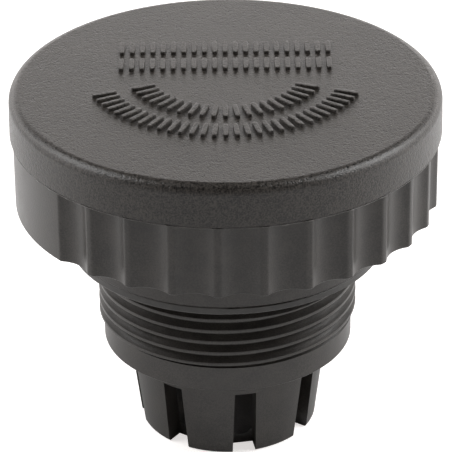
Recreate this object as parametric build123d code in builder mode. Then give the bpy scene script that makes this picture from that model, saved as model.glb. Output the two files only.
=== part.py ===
"""Screw-in air breather for a hydraulic tank, in millimetres.

A moulded housing carries the fluted hand grip, the gasket collar and the threaded neck. A pleated
paper element stands inside it under a mushroom cover, and a slotted splash guard is snapped into
the end of the neck. Air enters through the slots on the grip's underside, passes the paper from
outside to inside, and reaches the tank through the neck and the splash guard.

Z = 0 is the seating plane on the tank, under the flange gasket, and +Z points out of the tank.
"""
import math
import os

from build123d import *

# --- Threaded neck -----------------------------------------------------------
thread_diameter = 41.9  # major diameter of the M42 x 2 thread
neck_length = 12.8  # from the seating plane to the neck's end
neck_bore = 34.8
thread_chamfer = 0.5
undercut_diameter = 39.2  # plain groove between thread and collar
undercut_drop = 2.1  # how far the groove runs below the seating plane

# --- Gasket and collar -------------------------------------------------------
gasket_diameter = 51.0
gasket_thickness = 1.4
gasket_gap = 0.1  # around the undercut
gasket_rounding = 0.3
collar_diameter = 51.6
collar_wall = 2.5
collar_floor = 2.4
collar_chamfer = 0.25

# --- Fluted grip -------------------------------------------------------------
grip_diameter = 67.6  # over the lands
grip_bottom = 7.8  # height of the grip's underside
grip_height = 12.2  # from the underside to the cover's seat
grip_floor = 2.2
grip_edge = 0.15  # chamfer on the lower edge
bowl_diameter = 60.8
flute_places = 30  # equal places around the grip
flutes = 24  # the places left over are plain
land_width = 0.779  # strip left between two flutes
flute_depth = 1.15
flute_edge = 0.9  # rounding where a flute meets a land
first_flute_angle = -134.4

# --- Cored-out collar under the element ---------------------------------------
seat_wall = 2.8  # ring around the bore that the element stands on
core_ribs = 8
core_rib_thickness = 1.6

# --- Air inlets on the grip's underside ----------------------------------------
inlets = 12
inlet_circle_radius = 28.3
inlet_width = 2.4
inlet_angle = 17.0

# --- Cover -------------------------------------------------------------------
cover_diameter = 68.6
cover_height = 7.0
cover_draft = 0.1  # how much the side leans in at the top
cover_rounding = 1.6
cover_roof = 2.2
cover_edge = 0.25
shadow_gap = 0.3  # between the cover's lip and the grip's rim
seat_land = 1.9  # width of the rim that the cover stands on
spigot_clearance = 0.15
spigot_wall = 1.6
spigot_depth = 2.6
hold_down_diameter = 42.0
hold_down_wall = 1.6
hold_down_depth = 1.4  # from the roof to the element
cover_ribs = 8
cover_rib_thickness = 1.2
cover_rib_depth = 0.9

# --- Filter element ----------------------------------------------------------
seal_thickness = 1.2
seal_inset = 0.2
disc_clearance = 1.35  # from the element's discs to the cover's spigot
disc_thickness = 1.0
disc_rim_wall = 0.7
disc_rim_height = 1.4
core_diameter = 31.2
core_wall = 1.0
core_windows = 10
core_window_rows = 3
core_window_width = 3.0
core_window_height = 2.0
core_window_pitch = 3.2
pleats = 40
paper_thickness = 0.5
paper_gap = 0.2  # to the core tube and to the disc rims
pleat_tip_width = 1.3
pleat_root_width = 0.6
dish_depth = 1.2
dish_clearance = 0.3

# --- Splash guard ------------------------------------------------------------
flange_diameter = 40.4
flange_thickness = 4.25
flange_edge = 0.15
plug_clearance = 0.1
plug_length = 8.0
plug_wall = 1.9
snap_bead = 0.4
snap_bead_height = 1.2
snap_bead_drop = 1.4  # from the plug's top to the bead's middle
basket_top_diameter = 32.5
basket_bottom_diameter = 28.7
basket_length = 15.4
basket_wall = 3.0
basket_floor = 1.6
basket_rounding = 0.45
slots = 8
first_slot_angle = -79.9
slot_top_width = 3.5
slot_bottom_width = 3.8
slot_drop = 3.45  # from the flange to the slots' upper ends

# --- Worked out from the sizes above -------------------------------------------
thread_r = thread_diameter / 2
bore_r = neck_bore / 2
undercut_r = undercut_diameter / 2
collar_r = collar_diameter / 2
collar_bottom = gasket_thickness
pocket_r = collar_r - collar_wall
pocket_floor = collar_bottom + collar_floor
seat_ring_r = bore_r + seat_wall

grip_r = grip_diameter / 2
bowl_r = bowl_diameter / 2
bowl_floor = grip_bottom + grip_floor
cover_seat = grip_bottom + grip_height
place_angle = 360 / flute_places
flute_width = grip_r * math.radians(place_angle) - land_width
scallop_r = (flute_width**2 / 4 + flute_depth**2) / (2 * flute_depth)
scallop_centre = grip_r - flute_depth + scallop_r

cover_r = cover_diameter / 2
cover_top = cover_seat + cover_height
cover_top_r = cover_r - cover_draft
roof_underside = cover_top - cover_roof
spigot_r = bowl_r - spigot_clearance
hold_down_r = hold_down_diameter / 2

disc_r = spigot_r - spigot_wall - disc_clearance
core_r = core_diameter / 2
core_bore_r = core_r - core_wall
lower_disc_bottom = bowl_floor + seal_thickness
lower_disc_top = lower_disc_bottom + disc_thickness
upper_disc_top = roof_underside - hold_down_depth
upper_disc_bottom = upper_disc_top - disc_thickness
core_height = upper_disc_bottom - lower_disc_top
disc_rim_r = disc_r - disc_rim_wall

plug_r = bore_r - plug_clearance
plug_top = plug_length - neck_length
bead_z = plug_top - snap_bead_drop
flange_r = flange_diameter / 2
flange_bottom = -neck_length - flange_thickness
basket_bottom = flange_bottom - basket_length
basket_top_r = basket_top_diameter / 2
basket_bottom_r = basket_bottom_diameter / 2
slot_floor_r = basket_bottom_r - basket_wall


def radial_plane(angle, radius):
    """Upright plane facing outwards at an angle around Z, with its own Y axis upwards."""
    facing = Vector(1, 0, 0).rotate(Axis.Z, angle)
    return Plane(origin=facing * radius, x_dir=Vector(0, 1, 0).rotate(Axis.Z, angle), z_dir=facing)


def bead_outline(radius, grow):
    """Half section of the snap bead on a radius, grown all round by a clearance."""
    half = snap_bead_height / 2 + grow
    return [
        (radius - snap_bead, bead_z + half),
        (radius, bead_z + half),
        (radius + snap_bead, bead_z),
        (radius, bead_z - half),
        (radius - snap_bead, bead_z - half),
    ]


# --- Housing: grip, collar and neck in one moulding -----------------------------
with BuildPart() as housing:
    with BuildSketch(Plane.XY.offset(grip_bottom)) as grip_section:
        Circle(grip_r)
        with PolarLocations(
            scallop_centre, flutes, first_flute_angle, (flutes - 1) * place_angle, endpoint=True
        ):
            Circle(scallop_r, mode=Mode.SUBTRACT)
        fillet(grip_section.vertices(), flute_edge)
    extrude(amount=grip_height - shadow_gap)
    chamfer(housing.edges().group_by(Axis.Z)[0], grip_edge)

    # collar, undercut, thread blank and the rim that carries the cover
    with BuildSketch(Plane.XZ):
        with BuildLine():
            Polyline(
                (0, -neck_length),
                (thread_r - thread_chamfer, -neck_length),
                (thread_r, -neck_length + thread_chamfer),
                (thread_r, -undercut_drop - thread_r + undercut_r),
                (undercut_r, -undercut_drop),
                (undercut_r, collar_bottom),
                (collar_r - collar_chamfer, collar_bottom),
                (collar_r, collar_bottom + collar_chamfer),
                (collar_r, grip_bottom),
                (bowl_r + seat_land, grip_bottom),
                (bowl_r + seat_land, cover_seat),
                (0, cover_seat),
                close=True,
            )
        make_face()
    revolve(axis=Axis.Z)

    # bowl, bore with the snap groove, and the cored-out pocket around the seat ring
    with BuildSketch(Plane.XY.offset(bowl_floor)):
        Circle(bowl_r)
    extrude(amount=grip_height, mode=Mode.SUBTRACT)
    with BuildSketch(Plane.XY.offset(-neck_length)):
        Circle(bore_r)
    extrude(amount=neck_length + bowl_floor, mode=Mode.SUBTRACT)
    with BuildSketch(Plane.XZ):
        with BuildLine():
            Polyline(*bead_outline(bore_r, plug_clearance), close=True)
        make_face()
    revolve(axis=Axis.Z, mode=Mode.SUBTRACT)
    with BuildSketch(Plane.XY.offset(pocket_floor)):
        Circle(pocket_r)
        Circle(seat_ring_r, mode=Mode.SUBTRACT)
        rib_length = pocket_r - seat_ring_r
        with PolarLocations(seat_ring_r + rib_length / 2, core_ribs):
            Rectangle(2 * rib_length, core_rib_thickness, mode=Mode.SUBTRACT)
    extrude(amount=bowl_floor - pocket_floor, mode=Mode.SUBTRACT)

    # air inlets through the grip's floor
    with BuildSketch(Plane.XY.offset(grip_bottom)):
        for index in range(inlets):
            with BuildLine(mode=Mode.PRIVATE) as inlet_path:
                CenterArc((0, 0), inlet_circle_radius, index * 360 / inlets, inlet_angle)
            SlotArc(inlet_path.edges()[0], inlet_width)
    extrude(amount=grip_floor, mode=Mode.SUBTRACT)

# --- Flange gasket ----------------------------------------------------------------
with BuildPart() as flange_gasket:
    with BuildSketch():
        Circle(gasket_diameter / 2)
        Circle(undercut_r + gasket_gap, mode=Mode.SUBTRACT)
    extrude(amount=gasket_thickness)
    fillet(flange_gasket.edges().filter_by(GeomType.CIRCLE).sort_by(SortBy.RADIUS)[-2:], gasket_rounding)

# --- Cover ------------------------------------------------------------------------
with BuildPart() as cover:
    with BuildSketch(Plane.XZ):
        with BuildLine():
            Polyline(
                (0, roof_underside),
                (spigot_r - spigot_wall, roof_underside),
                (spigot_r - spigot_wall, cover_seat - spigot_depth),
                (spigot_r, cover_seat - spigot_depth),
                (spigot_r, cover_seat),
                (cover_r - cover_edge, cover_seat),
                (cover_r, cover_seat + cover_edge),
                (cover_top_r, cover_top),
                (0, cover_top),
                close=True,
            )
        make_face()
    revolve(axis=Axis.Z)
    fillet(cover.edges().group_by(Axis.Z)[-1], cover_rounding)
    with BuildSketch(Plane.XY.offset(roof_underside)):
        Circle(hold_down_r)
        Circle(hold_down_r - hold_down_wall, mode=Mode.SUBTRACT)
    extrude(amount=-hold_down_depth)
    with BuildSketch(Plane.XY.offset(roof_underside)):
        rib_start = hold_down_r - hold_down_wall / 2
        rib_end = spigot_r - spigot_wall / 2
        with PolarLocations((rib_start + rib_end) / 2, cover_ribs):
            Rectangle(rib_end - rib_start, cover_rib_thickness)
    extrude(amount=-cover_rib_depth)

# --- Filter element -----------------------------------------------------------------
with BuildPart() as element_seal:
    with BuildSketch(Plane.XY.offset(bowl_floor)):
        Circle(seat_ring_r - seal_inset)
        Circle(bore_r + seal_inset, mode=Mode.SUBTRACT)
    extrude(amount=seal_thickness)

with BuildPart() as lower_end_disc:
    with BuildSketch(Plane.XY.offset(lower_disc_bottom)):
        Circle(disc_r)
        Circle(core_bore_r, mode=Mode.SUBTRACT)
    extrude(amount=disc_thickness)
    with BuildSketch(Plane.XY.offset(lower_disc_top)):
        Circle(disc_r)
        Circle(disc_rim_r, mode=Mode.SUBTRACT)
    extrude(amount=disc_rim_height)

with BuildPart() as upper_end_disc:
    with BuildSketch(Plane.XZ):
        dish_r = core_bore_r - dish_clearance
        with BuildLine():
            Polyline(
                (0, upper_disc_bottom - dish_depth),
                (dish_r, upper_disc_bottom - dish_depth),
                (dish_r, upper_disc_bottom),
                (disc_rim_r, upper_disc_bottom),
                (disc_rim_r, upper_disc_bottom - disc_rim_height),
                (disc_r, upper_disc_bottom - disc_rim_height),
                (disc_r, upper_disc_top),
                (dish_r - disc_thickness, upper_disc_top),
                (dish_r - disc_thickness, upper_disc_top - dish_depth),
                (0, upper_disc_top - dish_depth),
                close=True,
            )
        make_face()
    revolve(axis=Axis.Z)

with BuildPart() as core_tube:
    with BuildSketch(Plane.XY.offset(lower_disc_top)):
        Circle(core_r)
        Circle(core_bore_r, mode=Mode.SUBTRACT)
    extrude(amount=core_height)
    for index in range(core_windows):
        with BuildSketch(radial_plane(index * 360 / core_windows, 0)):
            with Locations((0, lower_disc_top + core_height / 2)):
                with GridLocations(0, core_window_pitch, 1, core_window_rows):
                    Rectangle(core_window_width, core_window_height)
        extrude(amount=core_r, mode=Mode.SUBTRACT)


def pleat_outline(tip_r, root_r, tip_width, root_width):
    """Closed star outline with flat tips and flat roots, one of each for every pleat."""
    step = 360 / pleats
    points = []
    for index in range(pleats):
        tip = Vector(1, 0, 0).rotate(Axis.Z, index * step)
        tip_side = Vector(0, 1, 0).rotate(Axis.Z, index * step)
        root = Vector(1, 0, 0).rotate(Axis.Z, (index + 0.5) * step)
        root_side = Vector(0, 1, 0).rotate(Axis.Z, (index + 0.5) * step)
        points += [
            tip * tip_r - tip_side * tip_width / 2,
            tip * tip_r + tip_side * tip_width / 2,
            root * root_r - root_side * root_width / 2,
            root * root_r + root_side * root_width / 2,
        ]
    return points


with BuildPart() as pleated_paper:
    fold_tip_r = disc_rim_r - paper_gap
    fold_root_r = core_r + paper_gap
    with BuildSketch(Plane.XY.offset(lower_disc_top)):
        with BuildLine():
            Polyline(
                *pleat_outline(
                    fold_tip_r, fold_root_r + paper_thickness, pleat_tip_width, pleat_root_width
                ),
                close=True,
            )
        make_face()
        with BuildLine():
            Polyline(
                *pleat_outline(
                    fold_tip_r - paper_thickness,
                    fold_root_r,
                    pleat_tip_width - 2 * paper_thickness,
                    pleat_root_width + 2 * paper_thickness,
                ),
                close=True,
            )
        make_face(mode=Mode.SUBTRACT)
    extrude(amount=core_height)

# --- Splash guard ---------------------------------------------------------------------
with BuildPart() as splash_guard:
    inner_top_r = plug_r - plug_wall
    with BuildSketch(Plane.XZ):
        with BuildLine():
            Polyline(
                (0, basket_bottom),
                (basket_bottom_r, basket_bottom),
                (basket_top_r, flange_bottom),
                (flange_r - flange_edge, flange_bottom),
                (flange_r, flange_bottom + flange_edge),
                (flange_r, -neck_length),
                (plug_r, -neck_length),
                (plug_r, plug_top),
                (inner_top_r, plug_top),
                (inner_top_r, -neck_length),
                (basket_top_r - basket_wall, flange_bottom),
                (slot_floor_r, basket_bottom + basket_floor),
                (0, basket_bottom + basket_floor),
                close=True,
            )
        make_face()
    revolve(axis=Axis.Z)
    fillet(splash_guard.edges().group_by(Axis.Z)[0], basket_rounding)
    with BuildSketch(Plane.XZ):
        with BuildLine():
            Polyline(*bead_outline(plug_r, 0), close=True)
        make_face()
    revolve(axis=Axis.Z)
    for index in range(slots):
        slot_plane = radial_plane(first_slot_angle + index * 360 / slots, slot_floor_r)
        with BuildSketch(slot_plane):
            with BuildLine():
                Polyline(
                    (-slot_top_width / 2, flange_bottom - slot_drop),
                    (slot_top_width / 2, flange_bottom - slot_drop),
                    (slot_bottom_width / 2, basket_bottom),
                    (-slot_bottom_width / 2, basket_bottom),
                    close=True,
                )
            make_face()
        extrude(amount=basket_top_r, mode=Mode.SUBTRACT)

# --- Named solids, one file each ---------------------------------------------------------
os.makedirs("parts", exist_ok=True)
for name, piece in {
    "housing": housing,
    "flange_gasket": flange_gasket,
    "cover": cover,
    "element_seal": element_seal,
    "lower_end_disc": lower_end_disc,
    "upper_end_disc": upper_end_disc,
    "core_tube": core_tube,
    "pleated_paper": pleated_paper,
    "splash_guard": splash_guard,
}.items():
    piece.part.label = name
    export_step(piece.part, f"parts/{name}.step")
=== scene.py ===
"""Screw-in air breather for a hydraulic tank, dressed on its packed CAD frame.

The CAD nodes keep their shape and get procedural finishes. The housing is replaced by a copy with
its thread cut, and the cover gets plain raised bars and a thin line of flash on its lip. Lengths
are metres, +Z points out of the tank, -Y is the front, and the seating plane under the flange
gasket is z = 0.
"""
import math

import bpy
import numpy as np
from bpy.props import FloatProperty, FloatVectorProperty, IntProperty, PointerProperty
from mathutils import Matrix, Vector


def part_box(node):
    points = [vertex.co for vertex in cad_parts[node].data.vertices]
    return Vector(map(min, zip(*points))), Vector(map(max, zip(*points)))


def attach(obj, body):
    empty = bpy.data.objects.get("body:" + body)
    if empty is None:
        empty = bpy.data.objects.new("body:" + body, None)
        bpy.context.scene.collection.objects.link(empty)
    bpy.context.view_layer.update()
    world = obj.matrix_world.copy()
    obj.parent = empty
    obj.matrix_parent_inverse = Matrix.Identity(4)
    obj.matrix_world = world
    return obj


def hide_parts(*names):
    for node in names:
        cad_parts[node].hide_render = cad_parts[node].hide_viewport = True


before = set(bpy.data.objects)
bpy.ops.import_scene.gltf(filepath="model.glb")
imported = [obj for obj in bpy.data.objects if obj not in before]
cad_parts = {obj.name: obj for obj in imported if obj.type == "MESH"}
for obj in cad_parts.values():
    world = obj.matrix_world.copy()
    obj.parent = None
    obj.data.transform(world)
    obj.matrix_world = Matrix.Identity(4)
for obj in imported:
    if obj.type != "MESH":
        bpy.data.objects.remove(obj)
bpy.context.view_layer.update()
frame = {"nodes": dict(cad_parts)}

bl_info = {
    "name": "Tank Breather",
    "version": (1, 0, 0),
    "blender": (4, 5, 0),
    "location": "3D View > Sidebar > Breather",
    "description": "Cuts the thread, raises the cover's bars and finishes a tank breather",
    "category": "Object",
}

MM = 0.001
SHARP_DEGREES = 35.0  # edges sharper than this stay sharp when a piece is shaded smooth
BAR_SHARP_DEGREES = 40.0
FLASH_SHARP_DEGREES = 80.0
SENSOR_WIDTH = 36.0  # millimetres
NEAREST_SEEN = 0.01  # metres from the camera
GROOVE_TOP = -1.2 * MM  # height at which the thread's groove ends, in the undercut
housing_low, housing_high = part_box("housing")
_, cover_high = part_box("cover")
guard_low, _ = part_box("splash_guard")


# --- Sizes and colours ------------------------------------------------------------------


def length(name, description, default):
    """A length property in metres, given in millimetres."""
    return FloatProperty(
        name=name,
        description=description,
        default=default * MM,
        precision=5,
        subtype="DISTANCE",
        unit="LENGTH",
    )


def colour(name, description, default):
    """A colour property in linear RGB."""
    return FloatVectorProperty(
        name=name, description=description, default=default, size=3, min=0, max=1, subtype="COLOR"
    )


def angle(name, description, degrees):
    """An angle property, given in degrees."""
    return FloatProperty(
        name=name,
        description=description,
        default=math.radians(degrees),
        subtype="ANGLE",
        unit="ROTATION",
    )


def number(name, description, default):
    """A plain number's property."""
    return FloatProperty(name=name, description=description, default=default)


def count(name, description, default):
    """A whole number's property."""
    return IntProperty(name=name, description=description, default=default)


class BreatherThread(bpy.types.PropertyGroup):
    """Sizes of the neck's thread."""

    radius: length("Radius", "Crest radius of the thread", 20.95)
    pitch: length("Pitch", "Rise of the thread in one turn", 2.0)
    depth: length("Depth", "Depth of the groove below the crests", 1.15)
    crest: length("Crest width", "Width of the flat on each crest", 0.32)
    crest_edge: length("Crest rounding", "Rounding of the crest's edges", 0.16)
    first_crest: length("First crest", "Height of the uppermost crest at the front", -3.66)
    stations: count("Stations", "Sections in one turn of the groove", 120)


class BreatherMarks(bpy.types.PropertyGroup):
    """Sizes of the plain raised bars on the cover."""

    height: length("Height", "How far the bars stand above the cover", 0.5)
    sunk: length("Sunk", "How far the bars reach into the cover", 0.3)
    width: length("Width", "Width of a bar", 0.85)
    reach: length("Reach", "Length of a bar", 4.0)
    arc_centre: length("Arc centre", "Place on Y that both arcs run around", 4.1)
    inner_radius: length("Inner arc", "Radius of the inner arc", 13.8)
    outer_radius: length("Outer arc", "Radius of the outer arc", 20.3)
    inner_count: count("Inner bars", "Bars in the inner arc", 21)
    outer_count: count("Outer bars", "Bars in the outer arc", 31)
    spread: angle("Spread", "Angle from an arc's middle to its ends", 69)
    line_reach: length("Line reach", "Distance on X from the middle to the ends of the straight rows", 16.6)
    near_line: length("Near line", "Place on Y of the nearer straight row", 7.4)
    far_line: length("Far line", "Place on Y of the farther straight row", 13.4)
    line_count: count("Line bars", "Bars in each straight row", 21)


class BreatherFlash(bpy.types.PropertyGroup):
    """Sizes of the thin moulding flash on the cover's lower lip."""

    thin: length("Thin", "Radius of the flash where it is thinnest", 0.035)
    thick: length("Thick", "Radius of its largest specks", 0.13)
    drop: length("Drop", "How far the middle of the flash lies below the lip", 0.05)
    stations: count("Stations", "Sections around the lip", 1440)


class BreatherFinish(bpy.types.PropertyGroup):
    """Colours and gloss of the materials."""

    cover: colour("Cover", "Grained black plastic of the cover", (0.0225, 0.0195, 0.0168))
    housing: colour("Housing", "Satin black plastic of the housing", (0.0255, 0.0225, 0.0198))
    guard: colour("Splash guard", "Satin black plastic of the splash guard", (0.0245, 0.0215, 0.0188))
    # The flash is paler than the cover: partly the whitened look of thin flash, partly a painted glint that
    # stands in for its bright specks.
    flash: colour("Flash", "Thin flash on the cover's lip", (0.11, 0.105, 0.1))
    rubber: colour("Rubber", "Nitrile rubber of the gasket", (0.018, 0.0165, 0.015))
    disc: colour("End discs", "Dark grey plastic of the element's discs", (0.045, 0.045, 0.045))
    paper: colour("Paper", "Resin-impregnated filter paper", (0.56, 0.42, 0.24))
    cover_roughness: number("Cover roughness", "Roughness of the cover", 0.36)
    housing_roughness: number("Housing roughness", "Roughness of housing and splash guard", 0.36)
    gasket_roughness: number("Gasket roughness", "Roughness of the flange gasket", 0.35)
    seal_roughness: number("Seal roughness", "Roughness of the element's seal", 0.5)
    disc_roughness: number("Disc roughness", "Roughness of the element's discs and tube", 0.5)


class BreatherStage(bpy.types.PropertyGroup):
    """Camera, lamps, floor and surround."""

    elevation: angle("Elevation", "Height of the camera above the horizon", 28.64)
    distance: length("Distance", "From the camera to the aim", 483.97)
    aim_side: length("Aim sideways", "Where the camera aims on X", -0.12)
    aim_height: length("Aim height", "Where the camera aims on Z", 1.81)
    roll: angle("Roll", "Turn of the camera about its view", -0.5626)
    lens: number("Lens", "Focal length in millimetres on a 36 mm sensor", 238.49)
    floor: colour("Floor", "Plain pale floor", (0.8, 0.8, 0.8))
    warmth: colour("Warmth", "Colour of the surround and of the floor's glow", (1.0, 0.965, 0.95))
    glow: number("Floor glow", "Light of the white sweep under the breather", 0.67)
    front_glow: number("Front glow", "Light of the sweep ahead of the breather", 0.075)
    left_lamp: number("Left lamp", "Power of the left lamp in watts", 1.7)
    right_lamp: number("Right lamp", "Power of the right lamp in watts", 2.3)
    world_strength: number("Surround", "Strength of the pale surround", 0.74)


# --- Shader maths -----------------------------------------------------------------------


class Socket:
    """A node's output that adds Math nodes when it is used in an expression."""

    def __init__(self, nodes, output):
        self.nodes = nodes
        self.output = output

    def _math(self, operation, *values, clamp=False):
        settings = {"operation": operation, "use_clamp": clamp}
        return self.nodes.add("ShaderNodeMath", settings, dict(enumerate(values)))

    def __add__(self, other):
        return self._math("ADD", self, other)

    def __radd__(self, other):
        return self._math("ADD", other, self)

    def __sub__(self, other):
        return self._math("SUBTRACT", self, other)

    def __rsub__(self, other):
        return self._math("SUBTRACT", other, self)

    def __mul__(self, other):
        return self._math("MULTIPLY", self, other)

    def __rmul__(self, other):
        return self._math("MULTIPLY", other, self)

    def __neg__(self):
        return self._math("MULTIPLY", self, -1.0)

    def __abs__(self):
        return self._math("ABSOLUTE", self)

    def root(self):
        """The square root of the value."""
        return self._math("SQRT", self)

    def clamp(self):
        """The value held between 0 and 1."""
        return self._math("ADD", self, 0.0, clamp=True)

    def step(self, low, high):
        """A smooth step from 0 at low to 1 at high."""
        settings = {"interpolation_type": "SMOOTHSTEP"}
        return self.nodes.add("ShaderNodeMapRange", settings, {0: self, 1: low, 2: high, 3: 0.0, 4: 1.0})


class Nodes:
    """A node tree that is filled by expressions."""

    def __init__(self, tree):
        self.tree = tree
        tree.nodes.clear()

    def add(self, kind, settings=None, inputs=None, output=0):
        """Adds a node: its settings first, then its inputs by name or number. Gives one output."""
        node = self.tree.nodes.new(kind)
        for key, value in (settings or {}).items():
            setattr(node, key, value)
        for key, value in (inputs or {}).items():
            if isinstance(value, Socket):
                self.tree.links.new(value.output, node.inputs[key])
            else:
                node.inputs[key].default_value = value
        return Socket(self, node.outputs[output]) if node.outputs else None

    def split(self, vector):
        """The three components of a vector."""
        first = self.add("ShaderNodeSeparateXYZ", inputs={0: vector})
        return [Socket(self, first.output.node.outputs[i]) for i in range(3)]

    def mix(self, factor, first, second):
        """A colour between two colours."""
        settings = {"data_type": "RGBA"}
        return self.add("ShaderNodeMix", settings, {0: factor, 6: rgba(first), 7: rgba(second)}, 2)

    def place(self):
        """The piece's own coordinates in metres."""
        return self.add("ShaderNodeTexCoord", output=3)

    def noise(self, size, detail, roughness, vector):
        """Soft noise with features of about a size."""
        inputs = {"Vector": vector, "Scale": 1 / size, "Detail": detail, "Roughness": roughness}
        return self.add("ShaderNodeTexNoise", None, inputs)

    def bump(self, height, distance, strength):
        """A normal tilted by a height between 0 and 1 that stands for a distance."""
        inputs = {"Height": height, "Distance": distance, "Strength": strength}
        return self.add("ShaderNodeBump", None, inputs)


def rgba(tint):
    """A colour with its alpha, or a socket as it is."""
    return tint if isinstance(tint, Socket) else (*tuple(tint)[:3], 1.0)


def shade(tint, factor):
    """A colour made darker or paler by a factor."""
    return tuple(factor * c for c in tint)


def new_material(name):
    """An empty material and its nodes."""
    material = bpy.data.materials.new(name)
    material.use_nodes = True
    return material, Nodes(material.node_tree)


def finish_material(nodes, surface):
    """Links a surface to the material's output."""
    nodes.add("ShaderNodeOutputMaterial", None, {"Surface": surface})


def plain_surface(nodes, base, gloss, normal):
    """Ends a material in the plain surface shader."""
    inputs = {"Base Color": base, "Roughness": gloss, "Normal": normal}
    finish_material(nodes, nodes.add("ShaderNodeBsdfPrincipled", None, inputs))


# --- Materials --------------------------------------------------------------------------


def grained_plastic(name, tint, roughness):
    """Black plastic with a strong spark-eroded grain that sparkles where light strikes it."""
    grain_size, lump_size, patch_size = 0.26 * MM, 0.7 * MM, 9 * MM
    grain_depth, darkest, palest = 0.11 * MM, 0.25, 1.9
    material, nodes = new_material(name)
    place = nodes.place()
    fine = nodes.noise(grain_size, 1.0, 0.5, place)
    coarse = nodes.noise(lump_size, 2.0, 0.6, place)
    patch = nodes.noise(patch_size, 2.0, 0.5, place)
    tone = (fine * 0.75 + coarse * 0.15 + patch * 0.1).step(0.36, 0.64)
    base = nodes.mix(tone, shade(tint, darkest), shade(tint, palest))
    normal = nodes.bump(fine * 0.55 + coarse * 0.45, grain_depth, 1.0)
    gloss = roughness + (coarse - 0.5) * 0.15 + (fine - 0.5) * 0.35
    plain_surface(nodes, base, gloss, normal)
    return material


def satin_plastic(name, tint, roughness):
    """Black moulded plastic with a satin skin, a fine speckle and faint flow marks."""
    speckle_size, flow_size = 0.24 * MM, 4 * MM
    skin_depth, darkest, palest = 0.03 * MM, 0.6, 1.45
    material, nodes = new_material(name)
    place = nodes.place()
    fine = nodes.noise(speckle_size, 1.0, 0.5, place)
    flow = nodes.noise(flow_size, 3.0, 0.55, place)
    tone = (fine * 0.6 + flow * 0.4).step(0.34, 0.66)
    base = nodes.mix(tone, shade(tint, darkest), shade(tint, palest))
    normal = nodes.bump(fine * 0.6 + flow * 0.4, skin_depth, 1.0)
    gloss = roughness + (flow - 0.5) * 0.14 + (fine - 0.5) * 0.15
    plain_surface(nodes, base, gloss, normal)
    return material


def rubber(name, tint, roughness):
    """Smooth nitrile rubber with a little bloom."""
    bloom_size, skin_size = 2.5 * MM, 0.3 * MM
    skin_depth, palest = 0.02 * MM, 1.8
    material, nodes = new_material(name)
    place = nodes.place()
    bloom = nodes.noise(bloom_size, 4.0, 0.6, place)
    fine = nodes.noise(skin_size, 2.0, 0.5, place)
    base = nodes.mix(bloom.step(0.4, 0.7), tint, shade(tint, palest))
    normal = nodes.bump(fine * 0.5 + bloom * 0.5, skin_depth, 0.5)
    gloss = roughness + (bloom - 0.5) * 0.2
    plain_surface(nodes, base, gloss, normal)
    return material


def filter_paper(name, tint):
    """Resin-impregnated paper with short fibres that run along the pleats."""
    fibre_size, mottle_size = 0.3 * MM, 2 * MM
    fibre_depth, darkest, roughness = 0.03 * MM, 0.75, 0.9
    material, nodes = new_material(name)
    place = nodes.place()
    stretched = nodes.add("ShaderNodeMapping", None, {"Vector": place, "Scale": (1.0, 1.0, 0.25)})
    fibre = nodes.noise(fibre_size, 4.0, 0.7, stretched)
    mottle = nodes.noise(mottle_size, 2.0, 0.5, place)
    tone = (fibre * 0.6 + mottle * 0.4).step(0.3, 0.7)
    base = nodes.mix(tone, shade(tint, darkest), tint)
    normal = nodes.bump(fibre, fibre_depth, 0.6)
    plain_surface(nodes, base, roughness - fibre * 0.15, normal)
    return material


def seen_white(nodes, reflected):
    """One for rays that see the white background: from the camera, a glossy surface or clear
    matter. Glossy rays may see it weakened, as by the breather's own shade."""
    path = nodes.add("ShaderNodeLightPath").output.node
    camera, glossy, clear = (
        Socket(nodes, path.outputs[name])
        for name in ("Is Camera Ray", "Is Glossy Ray", "Is Transmission Ray")
    )
    return (camera + glossy * reflected + clear).clamp()


def set_material(piece, material):
    """Gives a piece one material in place of what it has."""
    piece.data.materials.clear()
    piece.data.materials.append(material)


# --- Meshes -----------------------------------------------------------------------------


def grid_faces(rows, columns, closed_rows=False, closed_columns=False):
    """Quads between neighbouring points of a grid. A closed direction joins its last line to its
    first."""
    row = np.arange(rows if closed_rows else rows - 1)
    column = np.arange(columns if closed_columns else columns - 1)
    r, c = (a.ravel() for a in np.meshgrid(row, column, indexing="ij"))
    r_next, c_next = (r + 1) % rows, (c + 1) % columns
    quads = [r * columns + c, r_next * columns + c, r_next * columns + c_next, r * columns + c_next]
    return np.stack(quads, axis=1)


def new_piece(name, points, faces, sharp_degrees=SHARP_DEGREES):
    """An object at the origin from points and faces, smooth except over sharp edges."""
    mesh = bpy.data.meshes.new(name)
    mesh.from_pydata(points.reshape(-1, 3).tolist(), [], [list(face) for face in faces])
    mesh.validate()
    mesh.update()
    smooth(mesh, sharp_degrees)
    piece = bpy.data.objects.new(name, mesh)
    bpy.context.scene.collection.objects.link(piece)
    return piece


def smooth(mesh, sharp_degrees):
    """Shades a mesh smooth, with edges sharper than an angle kept sharp."""
    mesh.polygons.foreach_set("use_smooth", np.ones(len(mesh.polygons), bool))
    mesh.set_sharp_from_angle(angle=math.radians(sharp_degrees))


def merged_copy(name, node):
    """A new piece from a CAD node's triangles, with points that lie together made one."""
    mesh = frame["nodes"][node].data
    mesh.calc_loop_triangles()
    points = np.empty(len(mesh.vertices) * 3, np.float32)
    mesh.vertices.foreach_get("co", points)
    triangles = np.empty(len(mesh.loop_triangles) * 3, np.int32)
    mesh.loop_triangles.foreach_get("vertices", triangles)
    tolerance = 1e-7
    key = np.round(points.reshape(-1, 3) / tolerance).astype(np.int64)
    _, first, inverse = np.unique(key, axis=0, return_index=True, return_inverse=True)
    faces = inverse.reshape(-1)[triangles].reshape(-1, 3)
    distinct = (faces[:, 0] != faces[:, 1]) & (faces[:, 1] != faces[:, 2]) & (faces[:, 2] != faces[:, 0])
    return new_piece(name, points.reshape(-1, 3)[first].astype(float), faces[distinct])


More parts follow.
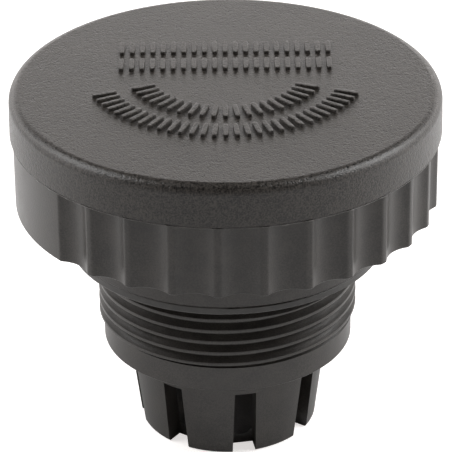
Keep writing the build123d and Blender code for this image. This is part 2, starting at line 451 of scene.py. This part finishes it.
def groove_section(thread):
    """Radii and half widths of the groove's section from root to crest: a root with small rounded
    corners, straight flanks at 30 degrees, rounded crest edges and a rim clear of the blank."""
    half = (thread.pitch - thread.crest) / 2
    flank = math.tan(math.radians(30))
    edge = thread.crest_edge
    root = half - edge - (thread.depth - edge) * flank
    root_flat, root_rise = 0.6, 0.04 * MM
    bend_radius, bend_width = 0.3, 0.65
    clear, flare = 0.1 * MM, 0.4
    bottom = thread.radius - thread.depth
    radius = [
        bottom,
        bottom + root_rise,
        thread.radius - edge,
        thread.radius - bend_radius * edge,
        thread.radius,
        thread.radius + clear,
    ]
    width = [root_flat * root, root, half - edge, half - bend_width * edge, half, half + flare * clear]
    return np.array(radius), np.array(width)


def thread_groove(thread, bottom, top):
    """A groove wound on the neck, from below its end up into the undercut: the section (radius r,
    height h) is carried along a right-hand helix, x = r cos(a), y = r sin(a) and
    z = h + first + pitch * a / 2 pi, and both ends are capped. Turn 0 is at the front, on -Y."""
    quarter = 0.25
    radius, width = groove_section(thread)
    ring_radius = np.concatenate([radius, radius[::-1]])
    ring_height = np.concatenate([-width, width[::-1]])
    middle_front = thread.first_crest - thread.pitch / 2
    turn_low = (bottom - middle_front) / thread.pitch
    turn_high = (top - middle_front) / thread.pitch
    sections = int((turn_high - turn_low) * thread.stations) + 1
    turn = np.linspace(turn_low, turn_high, sections)[:, None]
    around = 2 * math.pi * (turn - quarter)
    points = np.stack(
        [
            ring_radius * np.cos(around),
            ring_radius * np.sin(around),
            ring_height + middle_front + thread.pitch * turn,
        ],
        axis=-1,
    )
    size = len(ring_radius)
    faces = grid_faces(sections, size, closed_columns=True).tolist()
    faces.append(list(range(size))[::-1])
    faces.append(list(range((sections - 1) * size, sections * size)))
    return points, faces


def cut(piece, cutter):
    """Takes a cutter out of a piece and deletes the cutter. The cut is made in millimetres, because
    the solver's tolerance is too coarse for a small part in metres."""
    for solid in (piece, cutter):
        solid.data.transform(Matrix.Scale(1 / MM, 4))
    tool = piece.modifiers.new("cut", "BOOLEAN")
    tool.operation = "DIFFERENCE"
    tool.solver = "EXACT"
    tool.object = cutter
    bpy.context.view_layer.update()
    result = bpy.data.meshes.new_from_object(piece.evaluated_get(bpy.context.evaluated_depsgraph_get()))
    piece.modifiers.clear()
    result.transform(Matrix.Scale(MM, 4))
    old = piece.data
    piece.data = result
    bpy.data.meshes.remove(old)
    bpy.data.objects.remove(cutter)


def raised_bars(centres, turns, marks, level):
    """Raised bars at their own places and turns. A bar's outline is a superellipse,
    x = w/2 sgn(cos t) |cos t|^p and y = l/2 sgn(sin t) |sin t|^p. It is drawn in at the top, where
    its edge is rounded, and runs down to a foot below the surface."""
    columns, power = 20, 0.45
    t = np.linspace(0, 2 * math.pi, columns, endpoint=False)
    side = np.sign(np.cos(t)) * np.abs(np.cos(t)) ** power * marks.width / 2
    out = np.sign(np.sin(t)) * np.abs(np.sin(t)) ** power * marks.reach / 2
    inset = np.array([0.25, 0.12, 0.04, 0.0, -0.03])[:, None] * MM
    lift = np.array([1.0, 1.0, 0.93, 0.7, -marks.sunk / marks.height])[:, None] * marks.height
    along = side * (1 - 2 * inset / marks.width)
    across = out * (1 - 2 * inset / marks.reach)
    turn = turns[:, None, None]
    x = centres[:, 0, None, None] + along * np.cos(turn) - across * np.sin(turn)
    y = centres[:, 1, None, None] + along * np.sin(turn) + across * np.cos(turn)
    z = np.broadcast_to(level + lift, x.shape)
    rings = np.stack([x, y, z], axis=-1)
    bars, rows = rings.shape[:2]
    cap = np.column_stack([centres, np.full(bars, level + marks.height)])
    foot = np.column_stack([centres, np.full(bars, level - marks.sunk)])
    points = np.concatenate([rings.reshape(bars, -1, 3), cap[:, None], foot[:, None]], axis=1)
    step = np.arange(columns)
    following = (step + 1) % columns
    last = (rows - 1) * columns
    top = np.stack([np.full(columns, rows * columns), step, following], axis=1)
    bottom = np.stack([np.full(columns, rows * columns + 1), last + following, last + step], axis=1)
    walls = grid_faces(rows, columns, closed_columns=True)
    shift = (rows * columns + 2) * np.arange(bars)[:, None, None]
    quads = (walls + shift).reshape(-1, 4).tolist()
    fans = [*(top + shift).reshape(-1, 3).tolist(), *(bottom + shift).reshape(-1, 3).tolist()]
    return points, [*quads, *fans]


def arc_of_bars(marks, radius, bars):
    """Centres and turns of the bars in an arc around a point on Y, open to the rear."""
    turns = np.linspace(-marks.spread, marks.spread, bars)
    return np.column_stack([radius * np.sin(turns), marks.arc_centre - radius * np.cos(turns)]), turns


def line_of_bars(marks, place):
    """Centres and turns of the bars in a straight row."""
    side = np.linspace(-marks.line_reach, marks.line_reach, marks.line_count)
    return np.column_stack([side, np.full_like(side, place)]), np.zeros_like(side)


def flash_ring(flash, radius, level):
    """A closed ring of thin flash: a torus whose tube is thin + (thick - thin) s, where the swell
    s = max(w / 2, 0)^3 (1 + sin(5a + 1)) / 2 and the wave
    w = sin(61a + 2 sin 7a) + sin(97a + 3 sin 11a) make specks without a plain rhythm."""
    sides = 8
    around = np.linspace(0, 2 * math.pi, flash.stations, endpoint=False)[:, None]
    tube = np.linspace(0, 2 * math.pi, sides, endpoint=False)
    wave = np.sin(61 * around + 2 * np.sin(7 * around)) + np.sin(97 * around + 3 * np.sin(11 * around))
    swell = np.clip(wave / 2, 0, 1) ** 3 * (0.5 + 0.5 * np.sin(5 * around + 1))
    thick = flash.thin + (flash.thick - flash.thin) * swell
    out = radius + thick * np.cos(tube)
    height = level + thick * np.sin(tube)
    points = np.stack([out * np.cos(around), out * np.sin(around), height], axis=-1)
    return points, grid_faces(flash.stations, sides, True, True).tolist()


# --- Operators --------------------------------------------------------------------------


class BREATHER_OT_stage(bpy.types.Operator):
    """Set up the pale floor, the surround, the lamps and the camera"""

    bl_idname = "breather.stage"
    bl_label = "Stage"

    def execute(self, context):
        stage = context.scene.breather_stage
        self.camera(context, stage)
        self.floor(context, stage)
        self.world(context, stage)
        self.lamps(context, stage)
        context.scene.view_settings.view_transform = "Standard"
        return {"FINISHED"}

    def camera(self, context, stage):
        """Aims the camera at the breather from the front and above."""
        lift, roll = stage.elevation, stage.roll
        back = np.array([0, -math.cos(lift), math.sin(lift)])
        right = np.array([1.0, 0, 0])
        up = np.cross(back, right)
        turned_right = right * math.cos(roll) + up * math.sin(roll)
        turned_up = -right * math.sin(roll) + up * math.cos(roll)
        data = bpy.data.cameras.new("camera")
        data.lens = stage.lens
        data.sensor_width = SENSOR_WIDTH
        data.clip_start = NEAREST_SEEN
        camera = bpy.data.objects.new("camera", data)
        context.scene.collection.objects.link(camera)
        matrix = np.eye(4)
        matrix[:3, 0], matrix[:3, 1], matrix[:3, 2] = turned_right, turned_up, back
        matrix[:3, 3] = np.array([stage.aim_side, 0, stage.aim_height]) + stage.distance * back
        camera.matrix_world = matrix.T.tolist()
        context.scene.camera = camera

    def floor(self, context, stage):
        """A plain floor under the breather, white where the camera looks at it. To other rays it is
        plain, and glossy ones see its glow only away from the breather, outside its own shade. The
        glow is weaker ahead of the breather."""
        half, drop = 4.0, 0.02 * MM
        glow_near, glow_far = 5 * MM, 75 * MM
        shade_near, shade_far, reflected = 10 * MM, 70 * MM, 0.8
        level = guard_low.z - drop
        ends = [(-half, -half), (half, -half), (half, half), (-half, half)]
        points = np.array([[x, y, level] for x, y in ends])
        floor = new_piece("floor", points, [[0, 1, 2, 3]])
        material, nodes = new_material("pale_floor")
        plain = nodes.add("ShaderNodeBsdfDiffuse", None, {"Color": rgba(stage.floor)})
        x, y, _ = nodes.split(nodes.place())
        ahead = (-y).step(glow_near, glow_far)
        strength = stage.glow + ahead * (stage.front_glow - stage.glow)
        shine = {"Color": rgba(stage.warmth), "Strength": strength}
        glow = nodes.add("ShaderNodeEmission", None, shine)
        lit = nodes.add("ShaderNodeAddShader", None, {0: plain, 1: glow})
        clear_of_shade = (x * x + y * y).root().step(shade_near, shade_far)
        white = seen_white(nodes, clear_of_shade * reflected)
        finish_material(nodes, nodes.add("ShaderNodeMixShader", None, {0: white, 1: plain, 2: lit}))
        set_material(floor, material)

    def world(self, context, stage):
        """A pale surround behind and beside the breather, brightest near the horizon, and darker
        overhead and behind the camera. The steps are places on a unit sphere's axes."""
        ceiling_low, ceiling_high, side_lift, overhead = 0.46, 0.66, 0.25, 0.06
        front_near, front_far, front_loss = 0.1, 0.8, 0.85
        haze_low, haze_high, haze_gain = 0.15, 0.56, 2.4
        world = bpy.data.worlds.new("surround")
        context.scene.world = world
        world.use_nodes = True
        nodes = Nodes(world.node_tree)
        x, y, z = nodes.split(nodes.add("ShaderNodeTexCoord", output=0))
        low = 1 - (z + abs(x) * side_lift).step(ceiling_low, ceiling_high)
        front = (-y).step(front_near, front_far)
        haze = 1 + haze_gain * (1 - z.step(haze_low, haze_high))
        level = overhead + low * haze * (1 - front * front_loss)
        shine = {"Color": rgba(stage.warmth), "Strength": level * stage.world_strength}
        plain = nodes.add("ShaderNodeBackground", None, shine)
        nodes.add("ShaderNodeOutputWorld", None, {"Surface": plain})

    def lamps(self, context, stage):
        """Two large soft lamps, left and right, that face the breather."""
        size, distance = 0.32, 0.5
        aside, behind, above = 0.74, 0.05, 0.67
        for side, energy in ((-1, stage.left_lamp), (1, stage.right_lamp)):
            data = bpy.data.lights.new("side_lamp", "AREA")
            data.shape = "SQUARE"
            data.size = size
            data.energy = energy
            lamp = bpy.data.objects.new("side_lamp", data)
            context.scene.collection.objects.link(lamp)
            aim = np.array([side * aside, behind, above])
            aim = aim / np.linalg.norm(aim)
            sideways = np.cross([0, 0, 1.0], aim)
            sideways /= np.linalg.norm(sideways)
            matrix = np.eye(4)
            matrix[:3, 0], matrix[:3, 1], matrix[:3, 2] = sideways, np.cross(aim, sideways), aim
            matrix[:3, 3] = aim * distance
            lamp.matrix_world = matrix.T.tolist()
            lamp.visible_camera = False


class BREATHER_OT_housing(bpy.types.Operator):
    """Cut the thread into a copy of the housing and give it its satin finish"""

    bl_idname = "breather.housing"
    bl_label = "Housing"

    def execute(self, context):
        thread, finish = context.scene.breather_thread, context.scene.breather_finish
        housing = merged_copy("threaded_housing", "housing")
        points, faces = thread_groove(thread, housing_low.z - thread.pitch, GROOVE_TOP)
        cut(housing, new_piece("groove", points, faces))
        smooth(housing.data, SHARP_DEGREES)
        set_material(housing, satin_plastic("housing_satin", finish.housing, finish.housing_roughness))
        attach(housing, "root")
        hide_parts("housing")
        return {"FINISHED"}


class BREATHER_OT_cover(bpy.types.Operator):
    """Give the cover its grain, its raised bars and the flash on its lip"""

    bl_idname = "breather.cover"
    bl_label = "Cover"

    def execute(self, context):
        scene = context.scene
        marks, flash, finish = scene.breather_marks, scene.breather_flash, scene.breather_finish
        grain = grained_plastic("cover_grain", finish.cover, finish.cover_roughness)
        set_material(frame["nodes"]["cover"], grain)
        rows = {
            "inner_marks": arc_of_bars(marks, marks.inner_radius, marks.inner_count),
            "outer_marks": arc_of_bars(marks, marks.outer_radius, marks.outer_count),
            "near_marks": line_of_bars(marks, marks.near_line),
            "far_marks": line_of_bars(marks, marks.far_line),
        }
        for name, (centres, turns) in rows.items():
            points, faces = raised_bars(centres, turns, marks, cover_high.z)
            self.add(new_piece(name, points, faces, BAR_SHARP_DEGREES), grain)
        lip_radius, lip_level = cover_high.x - flash.thick, housing_high.z - flash.drop
        points, faces = flash_ring(flash, lip_radius, lip_level)
        ring = new_piece("lip_flash", points, faces, FLASH_SHARP_DEGREES)
        # The flash's paler colour is partly a painted glint on its specks.
        self.add(ring, satin_plastic("flash_plastic_painted_glint", finish.flash, finish.cover_roughness))
        return {"FINISHED"}

    def add(self, piece, material):
        """Hangs a moulded-on detail on the cover."""
        set_material(piece, material)
        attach(piece, "root")


class BREATHER_OT_guard(bpy.types.Operator):
    """Give the splash guard and the gasket their finishes"""

    bl_idname = "breather.guard"
    bl_label = "Splash guard and gasket"

    def execute(self, context):
        finish = context.scene.breather_finish
        nodes = frame["nodes"]
        satin = satin_plastic("guard_satin", finish.guard, finish.housing_roughness)
        set_material(nodes["splash_guard"], satin)
        gasket = rubber("gasket_rubber", finish.rubber, finish.gasket_roughness)
        set_material(nodes["flange_gasket"], gasket)
        return {"FINISHED"}


class BREATHER_OT_element(bpy.types.Operator):
    """Give the filter element inside the housing its paper, discs, tube and seal"""

    bl_idname = "breather.element"
    bl_label = "Filter element"

    def execute(self, context):
        finish = context.scene.breather_finish
        nodes = frame["nodes"]
        set_material(nodes["pleated_paper"], filter_paper("pleat_paper", finish.paper))
        disc = satin_plastic("disc_plastic", finish.disc, finish.disc_roughness)
        for name in ("lower_end_disc", "upper_end_disc", "core_tube"):
            set_material(nodes[name], disc)
        seal = rubber("seal_rubber", finish.rubber, finish.seal_roughness)
        set_material(nodes["element_seal"], seal)
        return {"FINISHED"}


# --- Panel and registration -------------------------------------------------------------

GROUPS = {
    "breather_thread": BreatherThread,
    "breather_marks": BreatherMarks,
    "breather_flash": BreatherFlash,
    "breather_finish": BreatherFinish,
    "breather_stage": BreatherStage,
}
OPERATORS = (
    BREATHER_OT_stage,
    BREATHER_OT_housing,
    BREATHER_OT_cover,
    BREATHER_OT_guard,
    BREATHER_OT_element,
)


class BREATHER_PT_sidebar(bpy.types.Panel):
    """Sizes, colours and steps of the breather"""

    bl_label = "Tank Breather"
    bl_idname = "BREATHER_PT_sidebar"
    bl_space_type = "VIEW_3D"
    bl_region_type = "UI"
    bl_category = "Breather"

    def draw(self, context):
        for name, group in GROUPS.items():
            box = self.layout.box()
            box.label(text=group.__doc__)
            for key in group.__annotations__:
                box.prop(getattr(context.scene, name), key)
        for operator in OPERATORS:
            self.layout.operator(operator.bl_idname)


CLASSES = (*GROUPS.values(), *OPERATORS, BREATHER_PT_sidebar)


def register():
    """Registers the classes and hangs the settings on the scene."""
    for cls in CLASSES:
        bpy.utils.register_class(cls)
    for name, group in GROUPS.items():
        setattr(bpy.types.Scene, name, PointerProperty(type=group))


def unregister():
    """Takes the settings and the classes away again."""
    for name in GROUPS:
        delattr(bpy.types.Scene, name)
    for cls in reversed(CLASSES):
        bpy.utils.unregister_class(cls)


def main():
    """Builds the breather piece by piece."""
    register()
    bpy.ops.breather.stage()
    bpy.ops.breather.housing()
    bpy.ops.breather.cover()
    bpy.ops.breather.guard()
    bpy.ops.breather.element()


if __name__ == "__main__":
    main()
